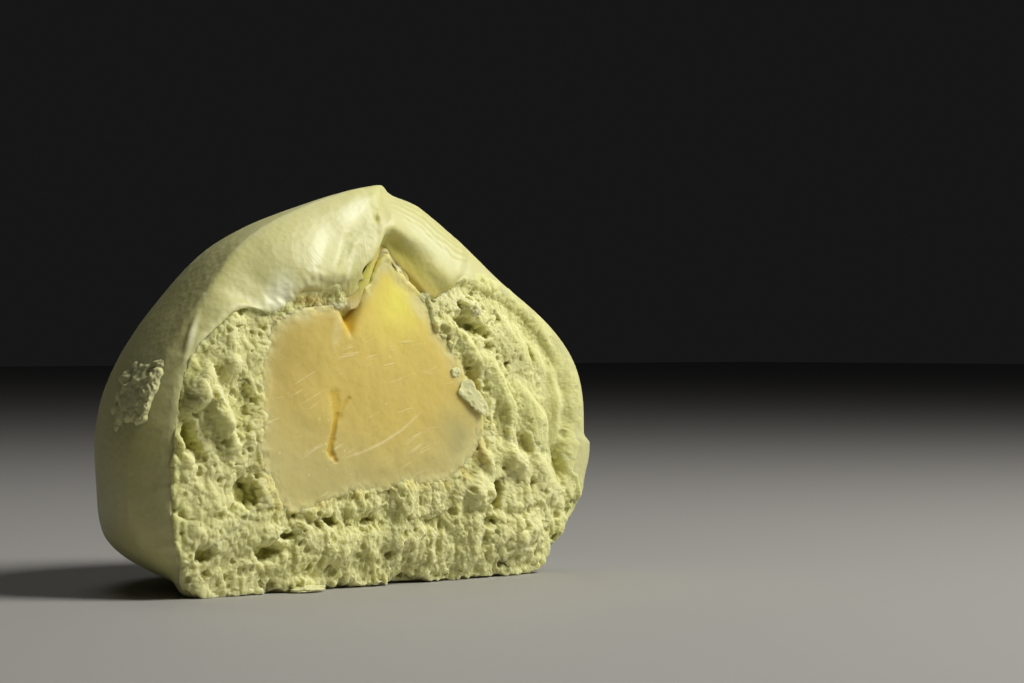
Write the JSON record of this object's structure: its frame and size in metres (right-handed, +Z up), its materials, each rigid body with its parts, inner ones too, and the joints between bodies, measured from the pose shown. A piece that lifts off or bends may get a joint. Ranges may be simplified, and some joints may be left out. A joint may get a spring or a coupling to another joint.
{
  "type": "torn steamed bun with paste filling",
  "caption": "Half of a domed steamed bun torn open by hand, with ragged porous crumb, rolled skin edges and a smooth sweet paste filling at its middle.",
  "frame": {"origin": "middle of the bounding box at its base, on the surface that the bun stands on", "axes": "+X along the torn face towards its blunter side, -Y out of the torn face, +Z up"},
  "size_m": [0.0762, 0.044, 0.0542],
  "materials": {
    "dough": "soft matte steamed dough, pale yellow green, with a satin skin",
    "filling": "dense smooth paste, moist satin, golden yellow"
  },
  "bodies": {
    "root": {"dough": "dough", "filling": "filling"}
  },
  "joints": []
}
